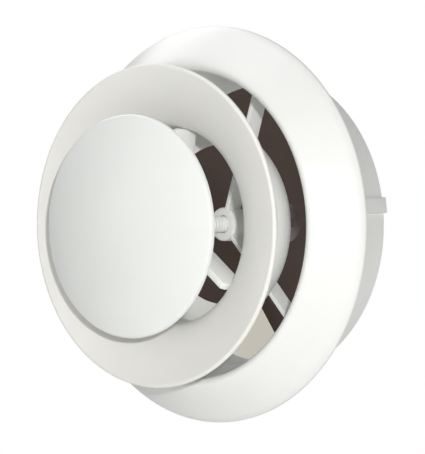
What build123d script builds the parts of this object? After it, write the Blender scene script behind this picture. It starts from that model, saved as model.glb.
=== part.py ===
from build123d import *
from math import cos, pi, radians, sin
import os

# Round ceiling air valve with a twist-lock mounting ring, a fixed middle ring and a screw-adjusted disc.
# Axis along Y, room side towards -Y, duct side towards +Y, +Z up. Origin: centre of the ceiling plane.
# Angles are clock angles seen from the room: 0 at +Z, 90 at +X. Outlines are (radius, y) pairs. Millimetres.

# Driving dimensions
DUCT_RADIUS = 75.0            # outside of the mounting collar, for a 150 mm duct fitting
FLANGE_RADIUS = 95.0          # outer rim of the valve body
COLLAR_DEPTH = 38.0           # how far the collar reaches into the duct
WALL = 1.7                    # wall of the collar and spigot
SPIGOT_INNER = 67.6
SPIGOT_REAR = 37.5
SKIN = 2.0                    # thickness of the visible mouldings
RING_RADIUS = 76.2            # middle ring, outer edge of the bead
RING_FRONT = -43.5            # plane of the middle ring's bead
RING_HOLE = 46.4
DISC_RADIUS = 52.5
DISC_EDGE = -59.4             # plane of the disc's widest circle
DISC_CROWN = 10.5             # how far the disc bulges ahead of its edge
HUB_RADIUS = 8.1
HUB_FRONT = 7.2
HUB_REAR = 21.0
FIN_DEPTH = 9.8
FIN_THICK = 2.0
FIN_ANGLE = 19.4
LEG_THICK = 3.4
LEG_ANGLE = 129.5
SPINDLE_RADIUS = 3.9
TRAVEL_IN = 20.0              # disc travel towards the duct, closing
TRAVEL_OUT = 6.0              # disc travel into the room, opening
LUG_COUNT = 3
CHANNEL_ANGLE = 84.6          # clock angle of the first lug entry channel
LOCK_TURN = 16.0              # twist from entry to locked

# Fits
RUNNING = 0.06
FREE_GAP = 0.3
PLAY = 0.1

# Derived stations
COLLAR_INNER = DUCT_RADIUS - WALL
SPIGOT_OUTER = SPIGOT_INNER + WALL
NECK_OUTER = 50.0
TUBE_OUTER = 48.0
TUBE_FRONT = -20.0
NECK_REAR = -10.0
FIN_REAR = HUB_FRONT + FIN_DEPTH
THIRD = 360 / LUG_COUNT


def thirds(start):
    """Three clock angles a third of a turn apart."""
    return [start + THIRD * i for i in range(3)]


def turned(*outline):
    """Solid of revolution about the valve axis from a closed (radius, y) outline."""
    return revolve(make_face(Polyline(*outline, close=True)), Axis.Y)


def tube(outer, inner, front, rear):
    return turned((inner, front), (outer, front), (outer, rear), (inner, rear))


def plate(radius, front, rear):
    """Round plate or rod on the valve axis."""
    return turned((0, front), (radius, front), (radius, rear), (0, rear))


def skin(outline, thickness):
    """Shell of even thickness: a smooth curve through the outline and the same curve set back."""
    face_line = Spline(*outline)
    stations = [i / 24 for i in range(25)]
    set_back = [face_line @ t + (face_line % t).rotate(Axis.Z, -90) * thickness for t in stations]
    edges = [
        face_line,
        Line(face_line @ 1, set_back[-1]),
        Spline(*set_back),
        Line(set_back[0], face_line @ 0),
    ]
    return revolve(make_face(edges), Axis.Y)


def block(width, front, rear, low, high):
    """Box on the +Z side of the axis: width across, front to rear along Y, low to high radius."""
    centre = Pos(0, (front + rear) / 2, (low + high) / 2)
    return centre * Box(width, rear - front, high - low)


def fin(thickness, *outline):
    """Flat radial plate at clock angle 0 from a closed (radius, y) outline."""
    drawn = [(0, y, radius) for radius, y in outline]
    return extrude(make_face(Polyline(*drawn, close=True)), amount=thickness / 2, dir=(1, 0, 0), both=True)


def at(angle, shape):
    """Turn a shape from clock angle 0 to the given clock angle."""
    return Rot(0, angle, 0) * shape


def sector(outer, inner, front, rear, span):
    """Part of a tube that spans an angle, centred on clock angle 0."""
    outline = [(0, front, inner), (0, front, outer), (0, rear, outer), (0, rear, inner)]
    swept = revolve(make_face(Polyline(*outline, close=True)), Axis.Y, span)
    return Rot(0, -span / 2, 0) * swept


def radial_rod(radius, low, high, y):
    """Round rod along a radius at clock angle 0."""
    return Pos(0, y, (low + high) / 2) * Cylinder(radius, high - low)


# ---- mounting ring: fixed to the ceiling, its collar slides over or into the duct end ----

RING_FLANGE_RADIUS = 86.0
RING_FLANGE_THICK = 1.6
SCREW_PCD = 160.0
SCREW_HOLE = 2.2
CHANNEL_WIDTH = 7.5
CHANNEL_RISE = 2.1
CHANNEL_WALL = 1.3
LEDGE_FRONT = 18.5
LEDGE_REAR = 21.5
LEDGE_INNER = SPIGOT_OUTER + FREE_GAP
LUG_WIDTH = 4.2
LUG_FRONT = LEDGE_REAR + PLAY
LUG_REAR = LUG_FRONT + 4.0
LUG_RADIUS = COLLAR_INNER - FREE_GAP
LOCK_STOP_GAP = 1.2
ARC_PER_MM = 180 / (pi * COLLAR_INNER)


def entry_channel():
    """Outward fold of the collar that lets a lug of the spigot pass."""
    outer = DUCT_RADIUS + CHANNEL_RISE
    folded = block(CHANNEL_WIDTH, -RING_FLANGE_THICK, COLLAR_DEPTH, COLLAR_INNER, outer)
    hollow_width = CHANNEL_WIDTH - 2 * CHANNEL_WALL
    hollow_top = outer - CHANNEL_WALL
    hollow = block(hollow_width, -2 * RING_FLANGE_THICK, LUG_REAR + 1, COLLAR_INNER - 3, hollow_top)
    return folded, hollow


def lock_ledge():
    """Ledge beside a channel that the lug turns behind, with its end stop."""
    half_channel = (CHANNEL_WIDTH / 2) * ARC_PER_MM
    half_lug = (LUG_WIDTH / 2 + LOCK_STOP_GAP) * ARC_PER_MM
    span = LOCK_TURN + half_lug - half_channel
    start = half_channel + span / 2
    ledge = at(start, sector(COLLAR_INNER + 0.5, LEDGE_INNER, LEDGE_FRONT, LEDGE_REAR, span))
    stop_angle = LOCK_TURN + half_lug + 1
    stop = at(stop_angle, sector(COLLAR_INNER + 0.5, LEDGE_INNER, LEDGE_FRONT, LUG_REAR + 1, 2))
    return ledge + stop


def mounting_ring():
    body = turned(
        (COLLAR_INNER, -RING_FLANGE_THICK),
        (RING_FLANGE_RADIUS, -RING_FLANGE_THICK),
        (RING_FLANGE_RADIUS, 0),
        (DUCT_RADIUS, 0),
        (DUCT_RADIUS, COLLAR_DEPTH - 0.6),
        (DUCT_RADIUS - 0.6, COLLAR_DEPTH),
        (COLLAR_INNER, COLLAR_DEPTH),
    )
    folded, hollow = entry_channel()
    for angle in thirds(CHANNEL_ANGLE):
        body += at(angle, folded)
    for angle in thirds(CHANNEL_ANGLE):
        body -= at(angle, hollow)
        body += at(angle, lock_ledge())
    hole = Pos(0, -RING_FLANGE_THICK / 2, SCREW_PCD / 2) * Rot(90, 0, 0) * Cylinder(SCREW_HOLE, 6)
    for angle in range(45, 360, 90):
        body -= at(angle, hole)
    return body


# ---- valve body: bell-shaped flange and spigot in one moulding ----

RIM_EDGE = -2.0               # front of the rim's outer edge
SPIGOT_FRONT = 13.0           # the spigot starts inside the bell's skin
BELL = [
    (FLANGE_RADIUS, RIM_EDGE),
    (88.5, -8.9),
    (82.5, -14.8),
    (78.8, -18.1),
    (76.2, -19.5),
    (73.9, -18.6),
    (72.8, -16.0),
    (71.8, -11.0),
    (70.4, -4.0),
    (69.1, 3.0),
    (68.0, 9.0),
    (SPIGOT_INNER, 14.0),
]
GASKET_OUTER = 93.6
GASKET_INNER = 87.4
GASKET_THICK = 2.4
SEAT_INNER = GASKET_INNER - 0.6
SEAT_THICK = 1.2
SEAL_FRONT = 30.0
SEAL_REAR = 33.0
SEAL_RADIUS = COLLAR_INNER - FREE_GAP
SEAL_BASE = 1.2
PEG_RADIUS = 1.5
PEG_Y = HUB_FRONT + FIN_DEPTH / 2


def bell_skin():
    """Bell front, cut clear of the gasket's seat."""
    return skin(BELL, SKIN) - tube(GASKET_OUTER, GASKET_INNER, -GASKET_THICK, 1)


def rim():
    """Outer rim with the flat seat for the foam gasket."""
    return turned(
        (FLANGE_RADIUS, RIM_EDGE),
        (FLANGE_RADIUS, 0),
        (GASKET_OUTER, 0),
        (GASKET_OUTER, -GASKET_THICK),
        (SEAT_INNER, -GASKET_THICK),
        (SEAT_INNER, -GASKET_THICK - SEAT_THICK),
        (GASKET_OUTER - 1, -GASKET_THICK - SEAT_THICK),
    )


def valve_body():
    body = bell_skin() + rim() + tube(SPIGOT_OUTER, SPIGOT_INNER, SPIGOT_FRONT, SPIGOT_REAR)
    lug = block(LUG_WIDTH, LUG_FRONT, LUG_REAR, SPIGOT_INNER + WALL / 2, LUG_RADIUS)
    for angle in thirds(CHANNEL_ANGLE + LOCK_TURN):
        body += at(angle, lug)
    for angle in thirds(FIN_ANGLE):
        body -= at(angle, radial_rod(PEG_RADIUS, SPIGOT_INNER - 3, SPIGOT_OUTER + 3, PEG_Y))
    return body


def foam_gasket():
    return tube(GASKET_OUTER, GASKET_INNER, -GASKET_THICK, 0)


def spigot_seal():
    """Rubber ring with a lip on the outside of the spigot."""
    return turned(
        (SPIGOT_OUTER, SEAL_FRONT),
        (SPIGOT_OUTER + SEAL_BASE, SEAL_FRONT),
        (SEAL_RADIUS, SEAL_FRONT + 1.4),
        (SEAL_RADIUS, SEAL_REAR - 1.0),
        (SPIGOT_OUTER + SEAL_BASE, SEAL_REAR),
        (SPIGOT_OUTER, SEAL_REAR),
    )


# ---- spider: hub, three fins and the inner air cup in one moulding ----

TUBE_WALL = 1.7
CUP_BEND = 20.0               # outside radius of the cup's rounded bottom
CUP_BEND_FRONT = -8.4         # where the rounding starts
CUP_SWEEP = 62.0
CUP_STEP_SWEEP = 10.0
BUSH_RADIUS = 6.2
BUSH_FRONT = 10.0


def on_bend(radius, angle):
    """Point on the cup's rounding, measured from where it starts."""
    across = radius * cos(radians(angle))
    deeper = radius * sin(radians(angle))
    return (NECK_OUTER - CUP_BEND + across, CUP_BEND_FRONT + deeper)


def air_cup():
    """Round-bottomed cup, open at both ends, that plugs into the middle ring's neck."""
    inside = CUP_BEND - TUBE_WALL
    middle = CUP_SWEEP / 2
    outline = [
        ThreePointArc(on_bend(CUP_BEND, 0), on_bend(CUP_BEND, middle), on_bend(CUP_BEND, CUP_SWEEP)),
        Line(on_bend(CUP_BEND, CUP_SWEEP), on_bend(inside, CUP_SWEEP)),
        ThreePointArc(on_bend(inside, CUP_SWEEP), on_bend(inside, middle), on_bend(inside, CUP_STEP_SWEEP)),
        Polyline(
            on_bend(inside, CUP_STEP_SWEEP),
            (TUBE_OUTER - TUBE_WALL, NECK_REAR + 1),
            (TUBE_OUTER - TUBE_WALL, TUBE_FRONT),
            (TUBE_OUTER, TUBE_FRONT),
            (TUBE_OUTER, NECK_REAR),
            (NECK_OUTER, NECK_REAR),
            on_bend(CUP_BEND, 0),
        ),
    ]
    return revolve(make_face(outline), Axis.Y)


def spider():
    hub = plate(HUB_RADIUS, HUB_FRONT, HUB_REAR)
    blade = fin(
        FIN_THICK,
        (HUB_RADIUS - 1, HUB_FRONT),
        (SPIGOT_INNER - PLAY, HUB_FRONT),
        (SPIGOT_INNER - PLAY, FIN_REAR),
        (HUB_RADIUS - 1, FIN_REAR),
    )
    peg = radial_rod(PEG_RADIUS - PLAY / 2, SPIGOT_INNER - 6, SPIGOT_OUTER, PEG_Y)
    body = hub + air_cup()
    for angle in thirds(FIN_ANGLE):
        body += at(angle, blade)
        body += at(angle, peg)
    body -= plate(BUSH_RADIUS, BUSH_FRONT, HUB_REAR + 1)
    body -= plate(SPINDLE_RADIUS + FREE_GAP, HUB_FRONT - 1, BUSH_FRONT + 1)
    return body


def thread_bush():
    """Brass bush pressed into the hub; the spindle turns in it."""
    return tube(BUSH_RADIUS, SPINDLE_RADIUS + RUNNING, BUSH_FRONT, HUB_REAR)


# ---- middle ring and the three-legged spindle guide trapped behind it ----

DISH = [
    (RING_RADIUS - 1.6, RING_FRONT + 0.6),
    (67.0, -41.2),
    (58.5, -38.4),
    (51.5, -35.2),
    (48.0, -32.4),
    (46.6, -29.6),
    (RING_HOLE, -27.0),
]
BEAD_RADIUS = 1.5
NECK_FRONT = -33.0             # buried in the dish's back
TAB_FRONT = -27.0
LEG_FRONT = -34.0
LEG_REAR = TUBE_FRONT
BOSS_RADIUS = 8.0
BOSS_FRONT = -30.0
GUIDE_BUSH_RADIUS = 6.2
LEG_REST = 45.0


def leg_notch():
    return block(LEG_THICK, TAB_FRONT, TUBE_FRONT, RING_HOLE - 1, TUBE_OUTER)


def middle_ring():
    bead_centre = (RING_RADIUS - BEAD_RADIUS, RING_FRONT + BEAD_RADIUS)
    bead = revolve(Pos(*bead_centre) * Circle(BEAD_RADIUS), Axis.Y)
    neck = turned(
        (RING_HOLE, TAB_FRONT - 0.4),
        (NECK_OUTER - 1.4, NECK_FRONT + 1.0),
        (NECK_OUTER, NECK_FRONT),
        (NECK_OUTER, NECK_REAR),
        (TUBE_OUTER, NECK_REAR),
        (TUBE_OUTER, TUBE_FRONT),
        (RING_HOLE, TUBE_FRONT),
    )
    body = skin(DISH, SKIN) + bead + neck
    for angle in thirds(LEG_ANGLE):
        body -= at(angle, leg_notch())
    return body


def spindle_guide():
    """Three legs and a boss that keep the spindle in line; their tabs sit in the ring's notches."""
    leg = fin(
        LEG_THICK,
        (BOSS_RADIUS - 1, BOSS_FRONT),
        (BOSS_RADIUS + 2, BOSS_FRONT),
        (BOSS_RADIUS + 6, LEG_FRONT),
        (LEG_REST, LEG_FRONT),
        (RING_HOLE - 0.2, LEG_FRONT + 2.5),
        (RING_HOLE - 0.2, TAB_FRONT),
        (TUBE_OUTER - PLAY, TAB_FRONT),
        (TUBE_OUTER - PLAY, LEG_REAR),
        (BOSS_RADIUS - 1, LEG_REAR),
    )
    body = plate(BOSS_RADIUS, BOSS_FRONT, LEG_REAR)
    for angle in thirds(LEG_ANGLE):
        body += at(angle, leg)
    return body - plate(GUIDE_BUSH_RADIUS, BOSS_FRONT - 1, LEG_REAR + 1)


def guide_bush():
    """Plain nylon liner in the guide's boss."""
    return tube(GUIDE_BUSH_RADIUS, SPINDLE_RADIUS + RUNNING, BOSS_FRONT, LEG_REAR)


# ---- rear guide sleeve, its cap and the travelling stop ----

SLEEVE_OUTER = 10.0
SLEEVE_END = 4.0              # solid sleeve behind the slots, which keeps the cap clear of the tail
SLEEVE_FRONT = FIN_REAR + PLAY
STOP_FRONT = HUB_REAR + TRAVEL_OUT + FREE_GAP
STOP_REAR = STOP_FRONT + 2.0
STOP_RADIUS = HUB_RADIUS - FREE_GAP
EAR_WIDTH = 4.0
EAR_RADIUS = SLEEVE_OUTER - 0.4
SLOT_FRONT = STOP_FRONT - TRAVEL_OUT - PLAY
SLOT_REAR = STOP_REAR + TRAVEL_IN + PLAY
SLEEVE_REAR = SLOT_REAR + SLEEVE_END
CAP_REAR = SLEEVE_REAR + 1.6
TAIL_RADIUS = 2.5
TAIL_REAR = STOP_REAR + 3.4
GROOVE_FRONT = STOP_REAR + 0.8
GROOVE_REAR = GROOVE_FRONT + 0.9
GROOVE_RADIUS = 1.9
TAIL_WASHER_RADIUS = 5.0
CLIP_RADIUS = 4.6


def guide_sleeve():
    """Tube behind the hub with two long slots; the slot ends stop the disc's travel."""
    body = tube(SLEEVE_OUTER, HUB_RADIUS, SLEEVE_FRONT, SLEEVE_REAR)
    slot = block(EAR_WIDTH + 2 * FREE_GAP, SLOT_FRONT, SLOT_REAR, HUB_RADIUS - 2, SLEEVE_OUTER + 2)
    for angle in (90, 270):
        body -= at(angle, slot)
    return body


def sleeve_cap():
    plug = tube(HUB_RADIUS, HUB_RADIUS - 1.4, SLEEVE_REAR - 3, SLEEVE_REAR)
    return plug + plate(SLEEVE_OUTER, SLEEVE_REAR, CAP_REAR)


def travel_stop():
    """Plate on the spindle's tail; its ears run in the sleeve's slots, so it travels without turning."""
    body = plate(STOP_RADIUS, STOP_FRONT, STOP_REAR)
    ear = block(EAR_WIDTH, STOP_FRONT, STOP_REAR, STOP_RADIUS - 1, EAR_RADIUS)
    for angle in (90, 270):
        body += at(angle, ear)
    return body - plate(TAIL_RADIUS + RUNNING, STOP_FRONT - 1, STOP_REAR + 1)


# ---- disc, spindle and what clamps them together ----

ROLL = 1.4                    # width of the disc's rolled edge
RIB_REACH = 37.2
BACK_FRONT = -58.4
BACK_REAR = -57.0
BACK_RADIUS = 49.2
SOCKET_RADIUS = 9.5
SOCKET_FRONT = -63.5
HEAD_RADIUS = 7.2
HEAD_FRONT = -66.0
WASHER_RADIUS = 8.2
WASHER_REAR = BACK_REAR + 0.8
NUT_REAR = WASHER_REAR + 4.0
NUT_ACROSS = 13.0
RIB_COUNT = 6
RIB_THICK = 1.6


def crown_radius():
    """Sphere that passes through the disc's edge circle and its crown."""
    return (DISC_RADIUS ** 2 + DISC_CROWN ** 2) / (2 * DISC_CROWN)


def disc_shell():
    """Domed front with a rolled edge."""
    sphere = crown_radius()
    centre = DISC_EDGE - DISC_CROWN + sphere
    inner = sphere - SKIN
    reach = DISC_RADIUS - ROLL
    lip_y = centre - (sphere ** 2 - reach ** 2) ** 0.5
    inner_y = centre - (inner ** 2 - BACK_RADIUS ** 2) ** 0.5
    halfway = radians(12)
    outer_mid = (sphere * sin(halfway), centre - sphere * cos(halfway))
    inner_mid = (inner * sin(halfway), centre - inner * cos(halfway))
    foot = (DISC_RADIUS - 0.5, BACK_REAR)
    outline = [
        ThreePointArc((0, DISC_EDGE - DISC_CROWN), outer_mid, (reach, lip_y)),
        ThreePointArc((reach, lip_y), (DISC_RADIUS - 0.3, DISC_EDGE + 0.5), foot),
        Line(foot, (BACK_RADIUS, BACK_REAR)),
        Line((BACK_RADIUS, BACK_REAR), (BACK_RADIUS, inner_y)),
        ThreePointArc((BACK_RADIUS, inner_y), inner_mid, (0, centre - inner)),
        Line((0, centre - inner), (0, DISC_EDGE - DISC_CROWN)),
    ]
    return revolve(make_face(outline), Axis.Y)


def disc_back():
    """Flat back plate with a socket for the spindle head and six stiffening ribs inside the disc."""
    body = tube(BACK_RADIUS, SPINDLE_RADIUS, BACK_FRONT, BACK_REAR)
    body += tube(SOCKET_RADIUS, SPINDLE_RADIUS, SOCKET_FRONT, BACK_FRONT)
    rib = fin(
        RIB_THICK,
        (SOCKET_RADIUS - 1, SOCKET_FRONT),
        (RIB_REACH, BACK_FRONT - 1),
        (RIB_REACH, BACK_FRONT + 0.5),
        (SOCKET_RADIUS - 1, BACK_FRONT + 0.5),
    )
    for i in range(RIB_COUNT):
        body += at(i * 360 / RIB_COUNT, rib)
    return body


def spindle():
    head = plate(HEAD_RADIUS, HEAD_FRONT, SOCKET_FRONT)
    shank = plate(SPINDLE_RADIUS, SOCKET_FRONT, STOP_FRONT)
    tail = plate(TAIL_RADIUS, STOP_FRONT, TAIL_REAR)
    groove = tube(TAIL_RADIUS + 1, GROOVE_RADIUS, GROOVE_FRONT, GROOVE_REAR)
    return head + shank + tail - groove


def disc_washer():
    return tube(WASHER_RADIUS, SPINDLE_RADIUS, BACK_REAR, WASHER_REAR)


def hex_body(across, front, rear):
    hexagon = RegularPolygon(across / 2, 6, major_radius=False)
    prism = extrude(hexagon, rear - front)
    return Pos(0, rear, 0) * Rot(90, 0, 0) * prism


def disc_nut():
    nut = hex_body(NUT_ACROSS, WASHER_REAR, NUT_REAR)
    return nut - plate(SPINDLE_RADIUS, WASHER_REAR - 1, NUT_REAR + 1)


def tail_washer():
    return tube(TAIL_WASHER_RADIUS, TAIL_RADIUS + PLAY, STOP_REAR, GROOVE_FRONT)


def tail_clip():
    """Open spring clip in the spindle's tail groove."""
    clip = tube(CLIP_RADIUS, GROOVE_RADIUS, GROOVE_FRONT, GROOVE_REAR)
    return clip - block(2 * GROOVE_RADIUS, GROOVE_FRONT - 1, GROOVE_REAR + 1, 0, CLIP_RADIUS + 1)


PARTS = {
    "mounting_ring": mounting_ring,
    "valve_body": valve_body,
    "foam_gasket": foam_gasket,
    "spigot_seal": spigot_seal,
    "spider": spider,
    "thread_bush": thread_bush,
    "middle_ring": middle_ring,
    "spindle_guide": spindle_guide,
    "guide_bush": guide_bush,
    "guide_sleeve": guide_sleeve,
    "sleeve_cap": sleeve_cap,
    "travel_stop": travel_stop,
    "disc_shell": disc_shell,
    "disc_back": disc_back,
    "spindle": spindle,
    "disc_washer": disc_washer,
    "disc_nut": disc_nut,
    "tail_washer": tail_washer,
    "tail_clip": tail_clip,
}

os.makedirs("parts", exist_ok=True)
for name, make in PARTS.items():
    export_step(make(), f"parts/{name}.step")
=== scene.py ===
from math import atan2, cos, degrees, pi, radians, sin
import bmesh
import bpy
from mathutils import Matrix, Vector


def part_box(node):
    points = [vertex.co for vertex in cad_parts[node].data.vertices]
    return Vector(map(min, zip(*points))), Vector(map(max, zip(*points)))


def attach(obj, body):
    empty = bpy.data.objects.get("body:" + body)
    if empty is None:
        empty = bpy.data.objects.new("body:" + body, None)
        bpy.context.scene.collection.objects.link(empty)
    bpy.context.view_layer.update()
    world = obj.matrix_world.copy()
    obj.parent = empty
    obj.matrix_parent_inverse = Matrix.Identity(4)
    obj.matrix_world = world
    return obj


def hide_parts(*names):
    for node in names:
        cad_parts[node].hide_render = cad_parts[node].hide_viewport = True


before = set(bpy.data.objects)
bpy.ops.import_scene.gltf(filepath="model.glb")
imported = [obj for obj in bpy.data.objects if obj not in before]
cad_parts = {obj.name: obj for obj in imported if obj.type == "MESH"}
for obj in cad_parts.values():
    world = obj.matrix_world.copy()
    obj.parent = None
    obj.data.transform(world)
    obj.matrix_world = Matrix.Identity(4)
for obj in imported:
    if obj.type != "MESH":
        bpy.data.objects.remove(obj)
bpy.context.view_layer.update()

# Looks of a round ceiling air valve. Outlines are closed (radius, y) lists in millimetres, in the CAD frame:
# axis along Y, room side towards -Y, duct side towards +Y, +Z up. Clock angles run from +Z towards +X.

MM = 0.001
AROUND = 192                  # facets round a full turn of the large mouldings
AROUND_SLEEVE = 96
AROUND_SMALL = 64             # facets round the hub, spindle and hardware
AROUND_HOLE = 32              # facets round a screw hole or peg
SECTOR_STEP = 1.5             # degrees to a facet of a ledge or lock stop
CRISP_ANGLE = 32              # degrees; sharper edges aren't smoothed over
OVERLAP = 0.05                # sinks the face of an added shape into the piece, or a cutter's face past it
THIRDS = (0, 120, 240)


# ---- sizes, read from the CAD nodes ----

def extent(node):
    """Outer radius, front and rear of a round CAD node about the Y axis, in millimetres."""
    low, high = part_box(node)
    return max(high.x, high.z, -low.x, -low.z) / MM, low.y / MM, high.y / MM


RING_FLANGE, COLLAR_FRONT, COLLAR_REAR = extent("mounting_ring")
FLANGE_RADIUS, BELL_FRONT, SPIGOT_REAR = extent("valve_body")
GASKET_OUTER, GASKET_FRONT, GASKET_REAR = extent("foam_gasket")
SEAL_RADIUS, SEAL_FRONT, SEAL_REAR = extent("spigot_seal")
RING_RADIUS, RING_FRONT, NECK_REAR = extent("middle_ring")
SLEEVE_RADIUS, SLEEVE_FRONT, SLEEVE_REAR = extent("guide_sleeve")
CAP_RADIUS, CAP_FRONT, CAP_REAR = extent("sleeve_cap")
EAR_RADIUS, STOP_FRONT, STOP_REAR = extent("travel_stop")
DISC_RADIUS, DISC_FRONT, DISC_REAR = extent("disc_shell")
BACK_RADIUS, SOCKET_FRONT, BACK_REAR = extent("disc_back")
HEAD_RADIUS, HEAD_FRONT, TAIL_REAR = extent("spindle")
BUSH_RADIUS, BUSH_FRONT, HUB_REAR = extent("thread_bush")
TUBE_FRONT = extent("spider")[1]
LEG_FRONT = extent("spindle_guide")[1]
GUIDE_BUSH_RADIUS, BOSS_FRONT, BOSS_REAR = extent("guide_bush")

DUCT_RADIUS = 75.0
COLLAR_INNER = 73.3
THROAT_REAR = 14.5            # where the inside of the bell becomes a straight spigot
SPIGOT_FRONT = 8.0            # where its outside does
SPIGOT_INNER = 67.6
SPIGOT_OUTER = 69.3
SKIN = 2.0
RING_HOLE = 46.4
NECK_OUTER = 50.0
TUBE_OUTER = 48.0
TUBE_WALL = 1.7
CUP_BEND = 20.0               # outside radius of the cup's rounded bottom
CUP_BEND_FRONT = -8.4
CUP_SWEEP = 62.0
CUP_INSIDE_START = 10         # degrees, like the sweep
HUB_RADIUS = 8.1
HUB_FRONT = 7.2
FIN_REAR = 17.0
FIN_THICK = 2.0
FIN_ANGLE = 19.4
PEG_RADIUS = 1.45
PEG_HOLE_RADIUS = 1.5
PEG_Y = (HUB_FRONT + FIN_REAR) / 2
LEG_THICK = 3.4
LEG_ANGLE = 129.5
LEG_REACH = 45.0              # where a leg's front edge bends back towards the ring
TAB_FRONT = -27.0             # front of the legs' tabs, and of the ring's notches for them
BOSS_RADIUS = 8.0
SPINDLE_RADIUS = 3.9
BUSH_BORE = SPINDLE_RADIUS + 0.06
CHANNEL_ANGLE = 84.6
LUG_ANGLE = 100.6


# ---- outlines ----

def arc(centre, radius, start, end, steps=10):
    """Points on a circle from one angle to another, in degrees from the radius direction towards +y."""
    angles = [radians(start + (end - start) * i / steps) for i in range(steps + 1)]
    return [(centre[0] + radius * cos(a), centre[1] + radius * sin(a)) for a in angles]


def through(a, b, c, steps=8):
    """Curve from a to c that bends towards b."""
    points = []
    for i in range(steps + 1):
        t = i / steps
        points.append(tuple((1 - t) ** 2 * a[k] + 2 * t * (1 - t) * b[k] + t * t * c[k] for k in (0, 1)))
    return points


def smooth_line(points, steps=7):
    """Catmull-Rom curve through the points."""
    def between(a, b, c, d, t):
        square = (2 * a - 5 * b + 4 * c - d) * t ** 2
        cube = (3 * b - a - 3 * c + d) * t ** 3
        return 0.5 * (2 * b + (c - a) * t + square + cube)

    padded = [points[0]] + list(points) + [points[-1]]
    line = []
    for stretch in zip(padded, padded[1:], padded[2:], padded[3:]):
        for i in range(steps):
            line.append(tuple(between(*values, i / steps) for values in zip(*stretch)))
    return line + [tuple(points[-1])]


def set_back(line, thickness):
    """The same line moved to its right by a thickness."""
    moved = []
    for i, point in enumerate(line):
        before = line[max(i - 1, 0)]
        after = line[min(i + 1, len(line) - 1)]
        along = Vector((after[0] - before[0], after[1] - before[1])).normalized()
        moved.append((point[0] + along.y * thickness, point[1] - along.x * thickness))
    return moved


def eased(corners, steps=4):
    """Closed outline in which each corner given as (radius, y, ease) is rounded off by that much."""
    line = []
    for i, corner in enumerate(corners):
        here = Vector(corner[:2])
        if len(corner) < 3:
            line.append(tuple(here))
            continue
        ends = []
        for neighbour in (corners[i - 1], corners[(i + 1) % len(corners)]):
            side = Vector(neighbour[:2]) - here
            ends.append(here + side.normalized() * min(corner[2], side.length * 0.45))
        line += through(ends[0], here, ends[1], steps)
    return line


# ---- meshes ----

def new_piece(name, builder):
    """Object from a bmesh in millimetres, smooth apart from its sharp edges."""
    bmesh.ops.remove_doubles(builder, verts=builder.verts, dist=1e-5)
    bmesh.ops.recalc_face_normals(builder, faces=builder.faces)
    bmesh.ops.scale(builder, vec=(MM, MM, MM), verts=builder.verts)
    mesh = bpy.data.meshes.new(name)
    builder.to_mesh(mesh)
    builder.free()
    piece = bpy.data.objects.new(name, mesh)
    bpy.context.scene.collection.objects.link(piece)
    shade(piece)
    return piece


def shade(piece):
    """Smooth shading that keeps the sharper edges crisp."""
    piece.data.shade_smooth()
    piece.data.set_sharp_from_angle(angle=radians(CRISP_ANGLE))


def turned(name, outline, around=AROUND, offset=None, phase=0.0):
    """Piece turned about the Y axis from a closed outline.

    offset(clock angle, radius, y) moves a point of the surface out or in. phase turns the facets by that part
    of one facet, so that a cutter's corners miss the corners of what it cuts.
    """
    builder = bmesh.new()
    rings = []
    for radius, y in outline:
        if radius < 1e-4:
            rings.append([builder.verts.new((0, y, 0))] * around)
            continue
        ring = []
        for i in range(around):
            angle = 2 * pi * (i + phase) / around
            reach = radius + (offset(angle, radius, y) if offset else 0)
            ring.append(builder.verts.new((reach * sin(angle), y, reach * cos(angle))))
        rings.append(ring)
    for ring, following in zip(rings, rings[1:] + rings[:1]):
        for i in range(around):
            corners = dict.fromkeys((ring[i - 1], ring[i], following[i], following[i - 1]))
            if len(corners) > 2:
                builder.faces.new(corners)
    return new_piece(name, builder)


def flat(name, outline, thickness, angle, ease=0.35):
    """Radial plate at a clock angle from a closed (radius, y) outline, with rounded edges."""
    builder = bmesh.new()
    sides = []
    for x in (-thickness / 2, thickness / 2):
        sides.append([builder.verts.new((x, y, radius)) for radius, y in outline])
    builder.faces.new(sides[0])
    builder.faces.new(sides[1][::-1])
    for i in range(len(outline)):
        builder.faces.new((sides[0][i - 1], sides[0][i], sides[1][i], sides[1][i - 1]))
    bmesh.ops.recalc_face_normals(builder, faces=builder.faces)
    if ease:
        bmesh.ops.bevel(builder, geom=builder.edges[:], offset=ease, segments=3, profile=0.5, affect="EDGES")
    turn = Matrix.Rotation(radians(angle), 3, "Y")
    bmesh.ops.rotate(builder, cent=(0, 0, 0), matrix=turn, verts=builder.verts)
    return new_piece(name, builder)


def block(name, width, front, rear, low, high, angle, ease=0.3):
    """Rounded block at a clock angle: width across, front to rear along Y, low to high radius."""
    outline = [(low, front), (high, front), (high, rear), (low, rear)]
    return flat(name, outline, width, angle, ease)


def sector(name, low, high, front, rear, start, end, ease=0.3):
    """Part of a ring between two clock angles, with rounded edges."""
    steps = max(3, round((end - start) / SECTOR_STEP))
    builder = bmesh.new()
    corners = ((low, front), (high, front), (high, rear), (low, rear))
    loops = []
    for i in range(steps + 1):
        a = radians(start + (end - start) * i / steps)
        loops.append([builder.verts.new((r * sin(a), y, r * cos(a))) for r, y in corners])
    builder.faces.new(loops[0])
    builder.faces.new(loops[-1][::-1])
    for loop, following in zip(loops, loops[1:]):
        for i in range(4):
            builder.faces.new((loop[i - 1], loop[i], following[i], following[i - 1]))
    bmesh.ops.recalc_face_normals(builder, faces=builder.faces)
    sharp = [e for e in builder.edges if e.calc_face_angle(0) > radians(30)]
    bmesh.ops.bevel(builder, geom=sharp, offset=ease, segments=2, profile=0.5, affect="EDGES")
    return new_piece(name, builder)


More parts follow.
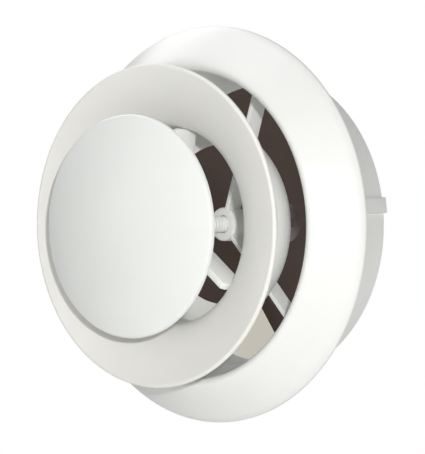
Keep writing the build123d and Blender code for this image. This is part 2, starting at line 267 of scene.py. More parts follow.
def peg(name, radius, low, high, angle):
    """Round peg along a radius at a clock angle, halfway down a fin."""
    rod = turned(name, eased([(0, low), (radius, low), (radius, high, 0.2), (0, high)]), AROUND_HOLE)
    rod.data.transform(Matrix.Rotation(radians(90), 4, "X"))
    rod.data.transform(Matrix.Translation((0, PEG_Y * MM, 0)))
    rod.data.transform(Matrix.Rotation(radians(angle), 4, "Y"))
    return rod


def combine(piece, tool, how):
    """Boolean of two pieces; the tool is used up."""
    step = piece.modifiers.new("shape", "BOOLEAN")
    step.operation = how
    step.solver = "EXACT"
    step.object = tool
    graph = bpy.context.evaluated_depsgraph_get()
    result = bpy.data.meshes.new_from_object(piece.evaluated_get(graph))
    piece.modifiers.clear()
    piece.data = result
    bpy.data.objects.remove(tool)


def add(piece, tool):
    """Joins the tool to the piece."""
    combine(piece, tool, "UNION")


def cut(piece, tool):
    """Takes the tool's shape out of the piece."""
    combine(piece, tool, "DIFFERENCE")


# ---- materials ----

def set_inputs(shader, **values):
    """Sets a node's inputs by name, with underscores for spaces."""
    for name, value in values.items():
        shader.inputs[name.replace("_", " ")].default_value = value


def node_material(name):
    """New material with its node tree and its shader."""
    material = bpy.data.materials.new(name)
    material.use_nodes = True
    tree = material.node_tree
    shader = tree.nodes["Principled BSDF"]
    return material, tree, shader


def noise(tree, scale, detail=3.0, stretch=None):
    """Noise in the object's own space; stretch scales it along X, Y and Z."""
    place = tree.nodes.new("ShaderNodeTexCoord").outputs["Object"]
    if stretch:
        mapping = tree.nodes.new("ShaderNodeMapping")
        mapping.inputs["Scale"].default_value = stretch
        tree.links.new(place, mapping.inputs["Vector"])
        place = mapping.outputs["Vector"]
    texture = tree.nodes.new("ShaderNodeTexNoise")
    set_inputs(texture, Scale=scale, Detail=detail)
    tree.links.new(place, texture.inputs["Vector"])
    return texture.outputs["Fac"]


def ramp(tree, source, low, high, start=0.3, end=0.7):
    """Spreads a texture between two colours or two grey values."""
    spread = tree.nodes.new("ShaderNodeValToRGB")
    for stop, value, place in zip(spread.color_ramp.elements, (low, high), (start, end)):
        stop.color = (*value, 1) if isinstance(value, tuple) else (value, value, value, 1)
        stop.position = place
    tree.links.new(source, spread.inputs["Fac"])
    return spread.outputs["Color"]


def bump(tree, shader, heights):
    """Stacks height textures, each with its depth in metres, into the shader's normal."""
    last = None
    for source, depth in heights:
        relief = tree.nodes.new("ShaderNodeBump")
        set_inputs(relief, Strength=1.0, Distance=depth)
        tree.links.new(source, relief.inputs["Height"])
        if last:
            tree.links.new(last, relief.inputs["Normal"])
        last = relief.outputs["Normal"]
    tree.links.new(last, shader.inputs["Normal"])


def moulded_plastic(name, colour, shade_of=0.965, gloss=(0.34, 0.44)):
    """Injection-moulded white plastic: faint cloudy tint, fine grain and slight sink in the surface."""
    material, tree, shader = node_material(name)
    darker = tuple(c * shade_of for c in colour)
    cloud = noise(tree, 24, 4)
    tree.links.new(ramp(tree, cloud, darker, colour), shader.inputs["Base Color"])
    tree.links.new(ramp(tree, noise(tree, 160, 3), *gloss), shader.inputs["Roughness"])
    bump(tree, shader, [(noise(tree, 30, 1), 0.00012), (noise(tree, 1500, 2), 0.000008)])
    set_inputs(shader, IOR=1.5, Specular_IOR_Level=0.42)
    return material


def foam_cells(name):
    """Closed-cell foam: small open bubbles over a matt grey."""
    material, tree, shader = node_material(name)
    place = tree.nodes.new("ShaderNodeTexCoord").outputs["Object"]
    cells = tree.nodes.new("ShaderNodeTexVoronoi")
    set_inputs(cells, Scale=900.0)
    tree.links.new(place, cells.inputs["Vector"])
    tint = ramp(tree, cells.outputs["Distance"], (0.20, 0.20, 0.205), (0.36, 0.36, 0.365), 0.1, 0.5)
    tree.links.new(tint, shader.inputs["Base Color"])
    tree.links.new(ramp(tree, noise(tree, 300), 0.82, 0.95), shader.inputs["Roughness"])
    bump(tree, shader, [(cells.outputs["Distance"], 0.0004), (noise(tree, 120, 3), 0.0003)])
    return material


def rubber(name):
    """Black rubber with a faint bloom."""
    material, tree, shader = node_material(name)
    cloud = ramp(tree, noise(tree, 60), (0.018, 0.018, 0.019), (0.04, 0.04, 0.042))
    tree.links.new(cloud, shader.inputs["Base Color"])
    tree.links.new(ramp(tree, noise(tree, 250), 0.5, 0.72), shader.inputs["Roughness"])
    bump(tree, shader, [(noise(tree, 1200, 2), 0.00003)])
    return material


def turned_metal(name, colour, duller, gloss):
    """Metal with fine machining lines round the Y axis and a slightly uneven film."""
    material, tree, shader = node_material(name)
    tree.links.new(ramp(tree, noise(tree, 220, 4), duller, colour), shader.inputs["Base Color"])
    tree.links.new(ramp(tree, noise(tree, 400, 3), *gloss), shader.inputs["Roughness"])
    bump(tree, shader, [(noise(tree, 60, 2, stretch=(1, 60, 1)), 0.00002)])
    set_inputs(shader, Metallic=1.0)
    return material


def nylon(name, colour):
    """Unfilled nylon: creamy, a little translucent."""
    material, tree, shader = node_material(name)
    darker = tuple(c * 0.93 for c in colour)
    tree.links.new(ramp(tree, noise(tree, 90, 3), darker, colour), shader.inputs["Base Color"])
    tree.links.new(ramp(tree, noise(tree, 350), 0.36, 0.5), shader.inputs["Roughness"])
    bump(tree, shader, [(noise(tree, 800, 2), 0.00002)])
    set_inputs(shader, Subsurface_Weight=0.15, Subsurface_Scale=0.002)
    return material


FINISH = {
    "disc": moulded_plastic("disc_plastic", (0.83, 0.845, 0.83), gloss=(0.30, 0.38)),
    "ring": moulded_plastic("ring_plastic", (0.84, 0.835, 0.80)),
    "bell": moulded_plastic("bell_plastic", (0.85, 0.86, 0.845)),
    "collar": moulded_plastic("collar_plastic", (0.87, 0.87, 0.86)),
    "spider": moulded_plastic("spider_plastic", (0.88, 0.885, 0.87)),
    "nylon": nylon("nylon_natural", (0.80, 0.77, 0.68)),
    "foam": foam_cells("gasket_foam"),
    "rubber": rubber("seal_rubber_black"),
    # white plastic like the rest, made brighter and bluer to paint the highlight on the spindle
    "screw": moulded_plastic("spindle_plastic_painted_highlight", (0.93, 0.95, 0.95), 0.98, (0.24, 0.32)),
    "dark": moulded_plastic("dark_plastic", (0.20, 0.17, 0.16), 0.85, (0.5, 0.62)),
    "brass": turned_metal("brass_turned", (0.80, 0.60, 0.26), (0.62, 0.44, 0.17), (0.22, 0.38)),
    "zinc": turned_metal("zinc_plate", (0.72, 0.73, 0.75), (0.55, 0.56, 0.58), (0.25, 0.42)),
}


def fit(piece, body, finish, *nodes):
    """Gives a finished piece its material, its body and the CAD nodes that it stands for."""
    piece.data.materials.clear()
    piece.data.materials.append(FINISH[finish])
    shade(piece)
    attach(piece, body)
    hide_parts(*nodes)
    return piece


# ---- valve body, gasket and seal ----

BELL_LINE = [
    (FLANGE_RADIUS, -2.0), (88.5, -8.9), (82.5, -14.8), (78.8, -18.1), (76.2, BELL_FRONT), (73.9, -18.6),
    (72.8, -16.0), (71.8, -11.0), (70.4, -4.0), (69.1, 3.0), (68.0, 9.0), (SPIGOT_INNER, 14.0),
]
RIM_EDGE = -1.2               # the rounded rim stands in for the line's first points
SEAT_INNER = 86.8
SEAT_THICK = 1.2
BACK_GAP = 0.6                # from the seat's front to the end of the bell's set-back surface
LUG_WIDTH = 4.2
LUG_FRONT = 21.6
LUG_REAR = 25.6
LUG_RADIUS = 73.0


def make_bell():
    """Bell flange and spigot in one moulding, with the gasket seat behind the rim and three lugs."""
    front = smooth_line(BELL_LINE)
    seat_front = GASKET_FRONT - SEAT_THICK
    back = [p for p in set_back(front, SKIN) if p[1] < seat_front - BACK_GAP and p[0] > SPIGOT_OUTER + 0.3]
    corners = [(FLANGE_RADIUS, RIM_EDGE, 0.6)] + front[2:-1] + [
        (SPIGOT_INNER, THROAT_REAR),
        (SPIGOT_INNER, SPIGOT_REAR, 0.6),
        (SPIGOT_OUTER, SPIGOT_REAR, 0.6),
        (SPIGOT_OUTER, SPIGOT_FRONT),
    ] + back[::-1] + [
        (SEAT_INNER, seat_front, 0.3),
        (SEAT_INNER, GASKET_FRONT, 0.3),
        (GASKET_OUTER, GASKET_FRONT),
        (GASKET_OUTER, GASKET_REAR, 0.2),
        (FLANGE_RADIUS, GASKET_REAR, 0.3),
    ]
    bell = turned("bell_flange_and_spigot", eased(corners))
    lug_root = SPIGOT_INNER + 0.8
    for third in THIRDS:
        add(bell, block("lug", LUG_WIDTH, LUG_FRONT, LUG_REAR, lug_root, LUG_RADIUS, LUG_ANGLE + third))
        cut(bell, peg("peg_hole", PEG_HOLE_RADIUS, SPIGOT_INNER - 3, SPIGOT_OUTER + 3, FIN_ANGLE + third))
    return fit(bell, "valve", "bell", "valve_body")


GASKET_WIDTH = 6.2
GASKET_SLACK = 0.1            # keeps the foam's sides off the seat
DIE_WOBBLE = 0.08


def make_gasket():
    """Foam strip on the rim's seat, its edges slightly uneven from the die."""
    def uneven(angle, radius, y):
        return DIE_WOBBLE * sin(23 * angle) * sin(41 * angle + y)

    inner = GASKET_OUTER - GASKET_WIDTH + GASKET_SLACK
    outer = GASKET_OUTER - GASKET_SLACK
    corners = [
        (inner, GASKET_FRONT, 0.3), (outer, GASKET_FRONT, 0.3),
        (outer, GASKET_REAR, 0.5), (inner, GASKET_REAR, 0.5),
    ]
    gasket = turned("foam_gasket_strip", eased(corners, 5), offset=uneven)
    return fit(gasket, "valve", "foam", "foam_gasket")


def make_seal():
    """Rubber ring on the spigot with one flexible lip."""
    lip = through(
        (SPIGOT_OUTER + 1.2, SEAL_FRONT),
        (SEAL_RADIUS - 1.0, SEAL_FRONT + 0.2),
        (SEAL_RADIUS, SEAL_FRONT + 1.5),
    )
    back = through(
        (SEAL_RADIUS, SEAL_FRONT + 1.9),
        (SEAL_RADIUS - 1.2, SEAL_FRONT + 1.5),
        (SPIGOT_OUTER + 1.3, SEAL_REAR),
    )
    outline = [(SPIGOT_OUTER, SEAL_FRONT)] + lip + back + [(SPIGOT_OUTER, SEAL_REAR)]
    return fit(turned("spigot_lip_seal", outline), "valve", "rubber", "spigot_seal")


# ---- spider, bushes, sleeve and cap ----

def make_spider():
    """Hub, three fins and the round-bottomed air cup in one moulding."""
    bore = SPINDLE_RADIUS + 0.3
    hub = turned("spider_hub_fins_cup", eased([
        (bore, HUB_FRONT, 0.5),
        (HUB_RADIUS, HUB_FRONT, 1.3),
        (HUB_RADIUS, HUB_REAR, 0.4),
        (BUSH_RADIUS, HUB_REAR, 0.4),
        (BUSH_RADIUS, BUSH_FRONT),
        (bore, BUSH_FRONT),
    ]), AROUND_SMALL)
    bend = (NECK_OUTER - CUP_BEND, CUP_BEND_FRONT)
    outside = arc(bend, CUP_BEND, 0, CUP_SWEEP, 24)
    inside = arc(bend, CUP_BEND - TUBE_WALL, CUP_INSIDE_START, CUP_SWEEP, 20)
    tube_inner = TUBE_OUTER - TUBE_WALL
    cup = turned("cup", eased([
        (tube_inner, TUBE_FRONT, 0.4),
        (TUBE_OUTER, TUBE_FRONT, 0.4),
        (TUBE_OUTER, NECK_REAR),
        (NECK_OUTER, NECK_REAR, 0.15),
    ] + outside + inside[::-1] + [(tube_inner, NECK_REAR + 1, 0.8)]))
    fin_root = HUB_RADIUS - 1
    fin_end = SPIGOT_INNER - 0.1
    fin_front = HUB_FRONT + OVERLAP
    fin_outline = [(fin_root, fin_front), (fin_end, fin_front), (fin_end, FIN_REAR), (fin_root, FIN_REAR)]
    for third in THIRDS:
        add(cup, flat("fin", fin_outline, FIN_THICK, FIN_ANGLE + third))
        add(cup, peg("peg", PEG_RADIUS, SPIGOT_INNER - 6, SPIGOT_OUTER, FIN_ANGLE + third))
    add(hub, cup)
    return fit(hub, "valve", "spider", "spider")


def make_thread_bush():
    """Brass bush in the hub with a lead-in chamfer at each end."""
    bush = turned("brass_thread_bush", eased([
        (BUSH_BORE, BUSH_FRONT, 0.4), (BUSH_RADIUS, BUSH_FRONT, 0.3),
        (BUSH_RADIUS, HUB_REAR, 0.5), (BUSH_BORE, HUB_REAR, 0.6),
    ]), AROUND_SMALL)
    return fit(bush, "valve", "brass", "thread_bush")


def make_guide():
    """Three legs and a boss behind the disc that hold the spindle in line."""
    guide = turned("spindle_guide_legs", eased([
        (GUIDE_BUSH_RADIUS, BOSS_FRONT, 0.3), (BOSS_RADIUS, BOSS_FRONT, 0.6),
        (BOSS_RADIUS, BOSS_REAR, 0.4), (GUIDE_BUSH_RADIUS, BOSS_REAR, 0.3),
    ]), AROUND_SMALL)
    root = BOSS_RADIUS - 1
    root_front = BOSS_FRONT + OVERLAP
    inside_ring = RING_HOLE - 0.2
    tab_end = TUBE_OUTER - 0.1
    leg_outline = [
        (root, root_front), (BOSS_RADIUS + 2, root_front),
        (BOSS_RADIUS + 6, LEG_FRONT), (LEG_REACH, LEG_FRONT), (inside_ring, LEG_FRONT + 2.5),
        (inside_ring, TAB_FRONT), (tab_end, TAB_FRONT), (tab_end, BOSS_REAR), (root, BOSS_REAR),
    ]
    for third in THIRDS:
        add(guide, flat("leg", leg_outline, LEG_THICK, LEG_ANGLE + third, 0.45))
    return fit(guide, "valve", "spider", "spindle_guide")


def make_guide_bush():
    """Nylon liner in the guide's boss."""
    bush = turned("nylon_guide_bush", eased([
        (BUSH_BORE, BOSS_FRONT, 0.4), (GUIDE_BUSH_RADIUS, BOSS_FRONT, 0.2),
        (GUIDE_BUSH_RADIUS, BOSS_REAR, 0.2), (BUSH_BORE, BOSS_REAR, 0.4),
    ]), AROUND_SMALL)
    return fit(bush, "valve", "nylon", "guide_bush")


TRAVEL_OUT = 6.0              # the travelling stop's way from rest towards the room
TRAVEL_IN = 20.0              # and towards the duct
EAR_ANGLES = (90, 270)
EAR_WIDTH = 4.0
SLOT_WIDTH = 4.6
SLOT_END_GAP = 0.1


def make_sleeve():
    """Tube behind the hub with two long slots for the travelling stop's ears."""
    sleeve = turned("rear_guide_sleeve", eased([
        (HUB_RADIUS, SLEEVE_FRONT, 0.3), (SLEEVE_RADIUS, SLEEVE_FRONT, 0.6),
        (SLEEVE_RADIUS, SLEEVE_REAR, 0.3), (HUB_RADIUS, SLEEVE_REAR, 0.3),
    ]), AROUND_SLEEVE)
    slot_front = STOP_FRONT - TRAVEL_OUT - SLOT_END_GAP
    slot_rear = STOP_REAR + TRAVEL_IN + SLOT_END_GAP
    for angle in EAR_ANGLES:
        slot = block("slot", SLOT_WIDTH, slot_front, slot_rear, HUB_RADIUS - 2, SLEEVE_RADIUS + 2, angle, 0.8)
        cut(sleeve, slot)
    return fit(sleeve, "valve", "dark", "guide_sleeve")


CAP_WALL = 1.4


def make_cap():
    """Domed snap-in cap on the sleeve's end."""
    inner = HUB_RADIUS - CAP_WALL
    cap = turned("sleeve_end_cap", eased([
        (0, CAP_REAR), (CAP_RADIUS - 2.5, CAP_REAR - 0.05, 0.8), (CAP_RADIUS, CAP_REAR - 0.7, 0.5),
        (CAP_RADIUS, SLEEVE_REAR, 0.2), (HUB_RADIUS, SLEEVE_REAR), (HUB_RADIUS, CAP_FRONT, 0.4),
        (inner, CAP_FRONT, 0.3), (inner, SLEEVE_REAR), (0, SLEEVE_REAR),
    ]), AROUND_SMALL)
    return fit(cap, "valve", "dark", "sleeve_cap")


# ---- middle ring ----

DISH_LINE = [
    (67.0, -41.3), (58.5, -38.4), (51.5, -35.2), (48.0, -32.4), (46.6, -29.6), (RING_HOLE, TAB_FRONT),
]
BEAD_RADIUS = 1.3
BEAD_START = -105             # degrees round the bead, where it leaves the dish
BEAD_END = 118
NECK_FRONT = -32.6


def make_ring():
    """Dished middle ring with a rolled bead and the neck that the air cup plugs into."""
    bead_centre = (RING_RADIUS - BEAD_RADIUS, RING_FRONT + BEAD_RADIUS)
    bead = arc(bead_centre, BEAD_RADIUS, BEAD_START, BEAD_END, 24)
    dish = smooth_line([bead[0]] + DISH_LINE)
    back = [p for p in set_back(dish, SKIN) if NECK_OUTER + 0.6 < p[0] < bead_centre[0] - 1.0]
    corners = bead + back + [
        (NECK_OUTER, NECK_FRONT, 0.5),
        (NECK_OUTER, NECK_REAR, 0.15),
        (TUBE_OUTER, NECK_REAR, 0.1),
        (TUBE_OUTER, TUBE_FRONT),
        (RING_HOLE, TUBE_FRONT, 0.2),
    ] + dish[:0:-1]
    ring = turned("middle_ring_dish", eased(corners))
    notch_rear = TUBE_FRONT + OVERLAP
    for third in THIRDS:
        angle = LEG_ANGLE + third
        cut(ring, block("notch", LEG_THICK, TAB_FRONT, notch_rear, RING_HOLE - 1, TUBE_OUTER, angle, 0))
    return fit(ring, "valve", "ring", "middle_ring")


# ---- mounting ring ----

CHANNEL_WIDTH = 7.5
CHANNEL_WALL = 1.3
CHANNEL_TOP = 77.1
LEDGE_FRONT = 18.5
LEDGE_REAR = 21.5
LEDGE_INNER = 69.6
LEDGE_START = 2.9             # degrees from the middle of the channel
LEDGE_END = 18.4
LOCK_STOP_START = 18.6
LOCK_STOP_END = 20.6
HOLLOW_FRONT = -4.0           # ahead of the ring, so that a channel is open to the room
CHANNEL_REAR = 26.6           # rear of a channel's hollow, and of the lock stop beyond its ledge
SCREW_CIRCLE = 80.0
SCREW_ANGLES = (45, 135, 225, 315)
SCREW_HOLE = 2.2
SCREW_MOUTH = 3.4
SCREW_SINK = 1.0


def screw_hole(angle):
    """Cutter for one screw hole with a countersunk mouth on the room side."""
    start = COLLAR_FRONT - 1
    end = 2
    tool = turned("hole", [
        (0, start), (SCREW_MOUTH, start), (SCREW_MOUTH, COLLAR_FRONT + 0.1),
        (SCREW_HOLE, COLLAR_FRONT + SCREW_SINK), (SCREW_HOLE, end), (0, end),
    ], AROUND_HOLE, phase=0.5)
    tool.data.transform(Matrix.Translation((0, 0, SCREW_CIRCLE * MM)))
    tool.data.transform(Matrix.Rotation(radians(angle), 4, "Y"))
    return tool


def make_mounting_ring():
    """Screwed ring with a collar, three entry channels, the lock ledges and their stops."""
    ring = turned("mounting_collar_ring", eased([
        (COLLAR_INNER, COLLAR_FRONT, 0.4),
        (RING_FLANGE, COLLAR_FRONT, 0.5),
        (RING_FLANGE, 0, 0.3),
        (DUCT_RADIUS, 0, 0.4),
        (DUCT_RADIUS, COLLAR_REAR, 0.7),
        (COLLAR_INNER, COLLAR_REAR, 0.4),
    ]))
    fold_front = COLLAR_FRONT + OVERLAP
    fold_root = COLLAR_INNER + 0.3
    width = CHANNEL_WIDTH - 2 * CHANNEL_WALL
    top = CHANNEL_TOP - CHANNEL_WALL
    root = COLLAR_INNER + 0.5
    for third in THIRDS:
        angle = CHANNEL_ANGLE + third
        add(ring, block("fold", CHANNEL_WIDTH, fold_front, COLLAR_REAR, fold_root, CHANNEL_TOP, angle, 0.5))
        cut(ring, block("hollow", width, HOLLOW_FRONT, CHANNEL_REAR, COLLAR_INNER - 3, top, angle, 0.3))
        ledge = (angle + LEDGE_START, angle + LEDGE_END)
        stop = (angle + LOCK_STOP_START, angle + LOCK_STOP_END)
        add(ring, sector("ledge", LEDGE_INNER, root, LEDGE_FRONT, LEDGE_REAR, *ledge))
        add(ring, sector("stop", LEDGE_INNER, root, LEDGE_FRONT, CHANNEL_REAR, *stop))
    for angle in SCREW_ANGLES:
        cut(ring, screw_hole(angle))
    return fit(ring, "mounting", "collar", "mounting_ring")


# ---- disc, spindle and hardware ----

DISC_EDGE = -59.4
DISC_REACH = 52.5             # radius that the dome's sphere would reach without the rolled edge
DISC_ROLL = 1.4


def make_disc():
    """Domed disc with a rolled edge."""
    crown = DISC_EDGE - DISC_FRONT
    sphere = (DISC_REACH ** 2 + crown ** 2) / (2 * crown)
    centre = (0, DISC_FRONT + sphere)
    lip = DISC_REACH - DISC_ROLL
    lip_angle = degrees(atan2(-(sphere ** 2 - lip ** 2) ** 0.5, lip))
    inner = sphere - SKIN
    inner_angle = degrees(atan2(-(inner ** 2 - BACK_RADIUS ** 2) ** 0.5, BACK_RADIUS))
    dome = arc(centre, sphere, -90, lip_angle, 40)
    edge = through(dome[-1], (DISC_RADIUS + 0.12, DISC_EDGE + 0.1), (DISC_RADIUS - 0.25, DISC_REAR - 0.4), 10)
    hollow = arc(centre, inner, inner_angle, -90, 24)
    outline = dome[:-1] + edge + [(DISC_RADIUS - 0.6, DISC_REAR), (BACK_RADIUS, DISC_REAR)] + hollow
    outline = [(max(radius, 0), y) for radius, y in outline]
    return fit(turned("disc_dome", outline), "disc", "disc", "disc_shell")


BACK_FRONT = -58.4            # front of the plate; its socket stands further forward
SOCKET_RADIUS = 9.5
RIB_START = 8.5
RIB_REACH = 37.2
RIB_THICK = 1.6


def make_disc_back():
    """Plate that closes the back of the disc, with a shallow groove, a spindle socket and six ribs inside."""
    outer = BACK_RADIUS - 0.02
    floor = BACK_REAR - 0.35
    plate = turned("disc_back_plate", eased([
        (SPINDLE_RADIUS, SOCKET_FRONT), (SOCKET_RADIUS, SOCKET_FRONT, 0.3), (SOCKET_RADIUS, BACK_FRONT),
        (outer, BACK_FRONT), (outer, BACK_REAR, 0.25), (BACK_RADIUS - 2.2, BACK_REAR - 0.02, 0.2),
        (BACK_RADIUS - 2.5, floor, 0.2), (BACK_RADIUS - 3.3, floor, 0.2),
        (BACK_RADIUS - 3.6, BACK_REAR, 0.2), (SPINDLE_RADIUS, BACK_REAR),
    ]))
    rib = [
        (RIB_START, SOCKET_FRONT + OVERLAP), (RIB_REACH, BACK_FRONT - 1),
        (RIB_REACH, BACK_FRONT + 0.5), (RIB_START, BACK_FRONT + 0.5),
    ]
    for angle in range(0, 360, 60):
        add(plate, flat("rib", rib, RIB_THICK, angle, 0.15))
    return fit(plate, "disc", "disc", "disc_back")


THREAD_PITCH = 2.0
THREAD_DEPTH = 0.42
THREAD_STEPS = 10             # rings of points to a turn
THREAD_FRONT = -12.0
THREAD_REAR = STOP_FRONT - 1.0
TAIL_RADIUS = 2.5
GROOVE_RADIUS = 1.9
CLIP_MOUTH = 3.1
STOP_BORE = 2.56
TAIL_WASHER_BORE = 2.6


def thread(angle, radius, y):
    """Depth of a round-bottomed right-hand thread on the spindle's shank."""
    if abs(radius - SPINDLE_RADIUS) > 0.01 or not THREAD_FRONT < y < THREAD_REAR:
        return 0
    run_out = min(1, (y - THREAD_FRONT) / THREAD_PITCH, (THREAD_REAR - y) / THREAD_PITCH)
    wave = 0.5 - 0.5 * cos(2 * pi * y / THREAD_PITCH - angle)
    return -THREAD_DEPTH * run_out * wave ** 0.7


def make_spindle():
    """Spindle with its head, rolled thread, stepped tail and clip groove."""
    groove_front, groove_rear = extent("tail_clip")[1:]
    length = THREAD_REAR - THREAD_FRONT
    steps = round(length / THREAD_PITCH * THREAD_STEPS)
    threaded = [(SPINDLE_RADIUS, THREAD_FRONT + length * i / steps) for i in range(steps + 1)]
    corners = [
        (0, HEAD_FRONT), (HEAD_RADIUS, HEAD_FRONT, 0.6),
        (HEAD_RADIUS, SOCKET_FRONT), (SPINDLE_RADIUS, SOCKET_FRONT),
    ] + threaded + [
        (SPINDLE_RADIUS, STOP_FRONT, 0.3), (TAIL_RADIUS, STOP_FRONT), (TAIL_RADIUS, groove_front),
        (GROOVE_RADIUS, groove_front), (GROOVE_RADIUS, groove_rear), (TAIL_RADIUS, groove_rear),
        (TAIL_RADIUS, TAIL_REAR, 0.5), (0, TAIL_REAR),
    ]
    return fit(turned("threaded_spindle", eased(corners), AROUND_SMALL, thread), "disc", "screw", "spindle")


def washer(name, inner, node, body, finish):
    """Flat washer with rolled edges, at a CAD washer's place."""
    outer, front, rear = extent(node)
    piece = turned(name, eased([
        (inner, front, 0.15), (outer, front, 0.25), (outer, rear, 0.25), (inner, rear, 0.15),
    ]), AROUND_SMALL)
    return fit(piece, body, finish, node)


NUT_ACROSS_FLATS = 13.0
NUT_FACE = 6.4                # radius where the chamfer starts
NUT_CHAMFER_REACH = 8.2
BORE_MOUTH = SPINDLE_RADIUS + 0.8


def make_nut():
    """Hexagon nut with chamfered corners and a countersunk bore."""
    front, rear = extent("disc_nut")[1:]
    corner = NUT_ACROSS_FLATS / 2 / cos(pi / 6)
    nut = turned("hexagon_nut", [(0, front), (corner, front), (corner, rear), (0, rear)], 6, phase=0.5)
    chamfer = turned("chamfer", [
        (0, front - 0.1), (NUT_FACE, front - 0.1), (NUT_CHAMFER_REACH, front + 0.9),
        (NUT_CHAMFER_REACH, rear - 0.9), (NUT_FACE, rear + 0.1), (0, rear + 0.1),
    ], AROUND_SMALL, phase=0.5)
    combine(nut, chamfer, "INTERSECT")
    cut(nut, turned("bore", [
        (0, front - 1), (SPINDLE_RADIUS, front - 1), (SPINDLE_RADIUS, rear - 0.4),
        (BORE_MOUTH, rear + 0.4), (BORE_MOUTH, rear + 1), (0, rear + 1),
    ], AROUND_SMALL, phase=0.25))
    return fit(nut, "disc", "zinc", "disc_nut")


def make_clip():
    """Open spring clip in the tail groove."""
    outer, front, rear = extent("tail_clip")
    clip = turned("tail_spring_clip", eased([
        (GROOVE_RADIUS, front, 0.1), (outer, front, 0.2), (outer, rear, 0.2), (GROOVE_RADIUS, rear, 0.1),
    ]), AROUND_SMALL)
    cut(clip, block("mouth", CLIP_MOUTH, front - 1, rear + 1, 0, outer + 1, 0, 0))
    return fit(clip, "disc", "zinc", "tail_clip")


def make_stop():
    """Travelling stop: a plate whose two ears run in the sleeve's slots."""
    stop = turned("travelling_stop", eased([
        (STOP_BORE, STOP_FRONT, 0.2), (HUB_RADIUS - 0.3, STOP_FRONT, 0.3),
        (HUB_RADIUS - 0.3, STOP_REAR, 0.3), (STOP_BORE, STOP_REAR, 0.2),
    ]), AROUND_SMALL)
    for angle in EAR_ANGLES:
        add(stop, block("ear", EAR_WIDTH, STOP_FRONT, STOP_REAR, HUB_RADIUS - 1.3, EAR_RADIUS, angle, 0.25))
    return fit(stop, "stop", "nylon", "travel_stop")


# ---- camera, light, floor ----

VIEW_AZIMUTH = 41.5
VIEW_ROLL = -1.35
VIEW_DISTANCE = 1.441         # metres
VIEW_DROP = -0.0012           # metres
VIEW_LENS = 237.9


def towards(azimuth, elevation):
    """Unit vector from the object towards a camera or lamp at that azimuth and elevation."""
    a, e = radians(azimuth), radians(elevation)
    return Vector((sin(a) * cos(e), -cos(a) * cos(e), sin(e)))


def make_camera():
    """Long-lens camera at the disc's height, with a slight roll."""
    data = bpy.data.cameras.new("camera")
    data.lens = VIEW_LENS
    data.sensor_width = 36.0
    data.clip_start = 0.05
    data.clip_end = 50.0
    camera = bpy.data.objects.new("camera", data)
    back = towards(VIEW_AZIMUTH, 0)
    up = Vector((0, 0, 1))
    right = up.cross(back)
    roll = radians(VIEW_ROLL)
    across = right * cos(roll) + up * sin(roll)
    upright = up * cos(roll) - right * sin(roll)
    place = back * VIEW_DISTANCE + up * VIEW_DROP
    axes = Matrix((across, upright, back)).transposed().to_4x4()
    camera.matrix_world = Matrix.Translation(place) @ axes
    bpy.context.scene.collection.objects.link(camera)
    bpy.context.scene.camera = camera


def soft_lamp(name, azimuth, elevation, distance, size, power, colour):
    """Round area lamp aimed at the object; distance and size in metres, power in watts."""
    data = bpy.data.lights.new(name, "AREA")
    data.shape = "DISK"
    data.size = size
    data.energy = power
    data.color = colour
    lamp = bpy.data.objects.new(name, data)
    aim = towards(azimuth, elevation)
    lamp.location = aim * distance
    lamp.rotation_euler = aim.to_track_quat("Z", "Y").to_euler()
    bpy.context.scene.collection.objects.link(lamp)


def make_lights():
    """Small bright key beside the camera, and broad dimmer lamps around the object."""
    soft_lamp("key", 45.0, 4.5, 1.6, 0.06, 14.4, (1.0, 0.995, 0.985))
    soft_lamp("fill", 38, 12, 1.7, 1.2, 4.2, (1.0, 1.0, 0.99))
    soft_lamp("overhead", -40, 70, 1.7, 1.0, 8.0, (1.0, 1.0, 1.0))
    soft_lamp("rear", 250, 45, 1.8, 1.0, 11.0, (1.0, 1.0, 1.0))


AMBIENT_FRONT = (0.2, 0.203, 0.195)
AMBIENT_REAR = (0.06, 0.056, 0.053)


def make_world():
    """White for the camera, and a dimmer even light for the object."""
    world = bpy.data.worlds.new("studio")
    world.use_nodes = True
    tree = world.node_tree
    background = tree.nodes["Background"]
    seen = tree.nodes.new("ShaderNodeLightPath").outputs["Is Camera Ray"]
    place = tree.nodes.new("ShaderNodeTexCoord").outputs["Generated"]
    split = tree.nodes.new("ShaderNodeSeparateXYZ")
    tree.links.new(place, split.inputs["Vector"])
    even = ramp(tree, split.outputs["Y"], AMBIENT_FRONT, AMBIENT_REAR, 0.0, 0.35)
    choose = tree.nodes.new("ShaderNodeMix")
    choose.data_type = "RGBA"
    tree.links.new(seen, choose.inputs["Factor"])
    tree.links.new(even, choose.inputs["A"])
    choose.inputs["B"].default_value = (1, 1, 1, 1)
    tree.links.new(choose.outputs["Result"], background.inputs["Color"])
    bpy.context.scene.world = world


FLOOR_Z = -360.0
FLOOR_RADIUS = 3000.0
FLOOR_CENTRE = (0.56, -0.56)  # metres
CARD_DISTANCE = 1.2           # metres
CARD_RADIUS = 128.0
PATCH_GAP = 0.01              # metres between the two cards
PATCH_RADIUS = 46.0           # from the square card's centre to a corner
PATCH_ACROSS = 21.9
PATCH_UP = -107.2
PATCH_TURN = -18.7


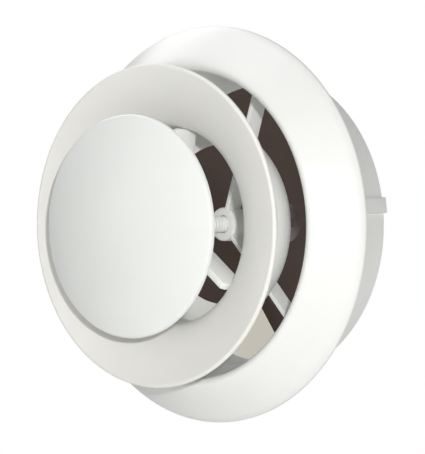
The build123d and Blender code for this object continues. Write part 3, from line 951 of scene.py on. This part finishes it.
def stage_card(name, radius, colour, variation, sides=96, glow=0.0):
    """Flat round or many-sided card for the studio, facing +Z, with a faintly mottled paper finish."""
    builder = bmesh.new()
    bmesh.ops.create_circle(builder, cap_ends=True, segments=sides, radius=radius)
    piece = new_piece(name, builder)
    material, tree, shader = node_material(name)
    darker = tuple(c * variation for c in colour)
    tree.links.new(ramp(tree, noise(tree, 3, 3), darker, colour), shader.inputs["Base Color"])
    tree.links.new(ramp(tree, noise(tree, 40, 3), 0.8, 0.95), shader.inputs["Roughness"])
    set_inputs(shader, Emission_Color=(*colour, 1), Emission_Strength=glow)
    piece.data.materials.append(material)
    return piece


def make_stage():
    """Pale floor; behind the object a dark card that paints the shade deep inside the duct, seen through its
    openings; just before it a small pale card that glows to paint a lit surface there.
    """
    floor = stage_card("pale_floor", FLOOR_RADIUS, (0.84, 0.84, 0.83), 0.97, glow=0.06)
    floor.location = (*FLOOR_CENTRE, FLOOR_Z * MM)
    # painted shade: this dark brown card stands in for the shade deep inside the duct, seen through the gaps
    card = stage_card("painted_shade_card", CARD_RADIUS, (0.085, 0.058, 0.048), 0.8)
    view = towards(VIEW_AZIMUTH, 0)
    turn = view.to_track_quat("Z", "Y").to_euler()
    card.location = -view * CARD_DISTANCE
    card.rotation_euler = turn
    # painted light: this pale card glows, though it is no lamp, to paint a lit surface seen through the lower
    # gap
    patch = stage_card("painted_light_patch", PATCH_RADIUS, (0.74, 0.70, 0.62), 0.94, sides=4, glow=0.27)
    up = Vector((0, 0, 1))
    shift = up.cross(view) * PATCH_ACROSS * MM + up * PATCH_UP * MM
    patch.location = -view * (CARD_DISTANCE - PATCH_GAP) + shift
    patch.rotation_euler = (turn.to_matrix() @ Matrix.Rotation(radians(PATCH_TURN), 3, "Z")).to_euler()


make_camera()
make_world()
make_lights()
make_stage()
for make in (
    make_bell, make_gasket, make_seal, make_spider, make_thread_bush, make_guide, make_guide_bush,
    make_sleeve, make_cap, make_ring, make_mounting_ring, make_disc, make_disc_back, make_spindle,
    make_nut, make_clip, make_stop,
):
    make()
washer("disc_washer_flat", SPINDLE_RADIUS + 0.02, "disc_washer", "disc", "zinc")
washer("tail_washer_flat", TAIL_WASHER_BORE, "tail_washer", "disc", "zinc")

scene = bpy.context.scene
scene.view_settings.view_transform = "Standard"
scene.view_settings.look = "None"
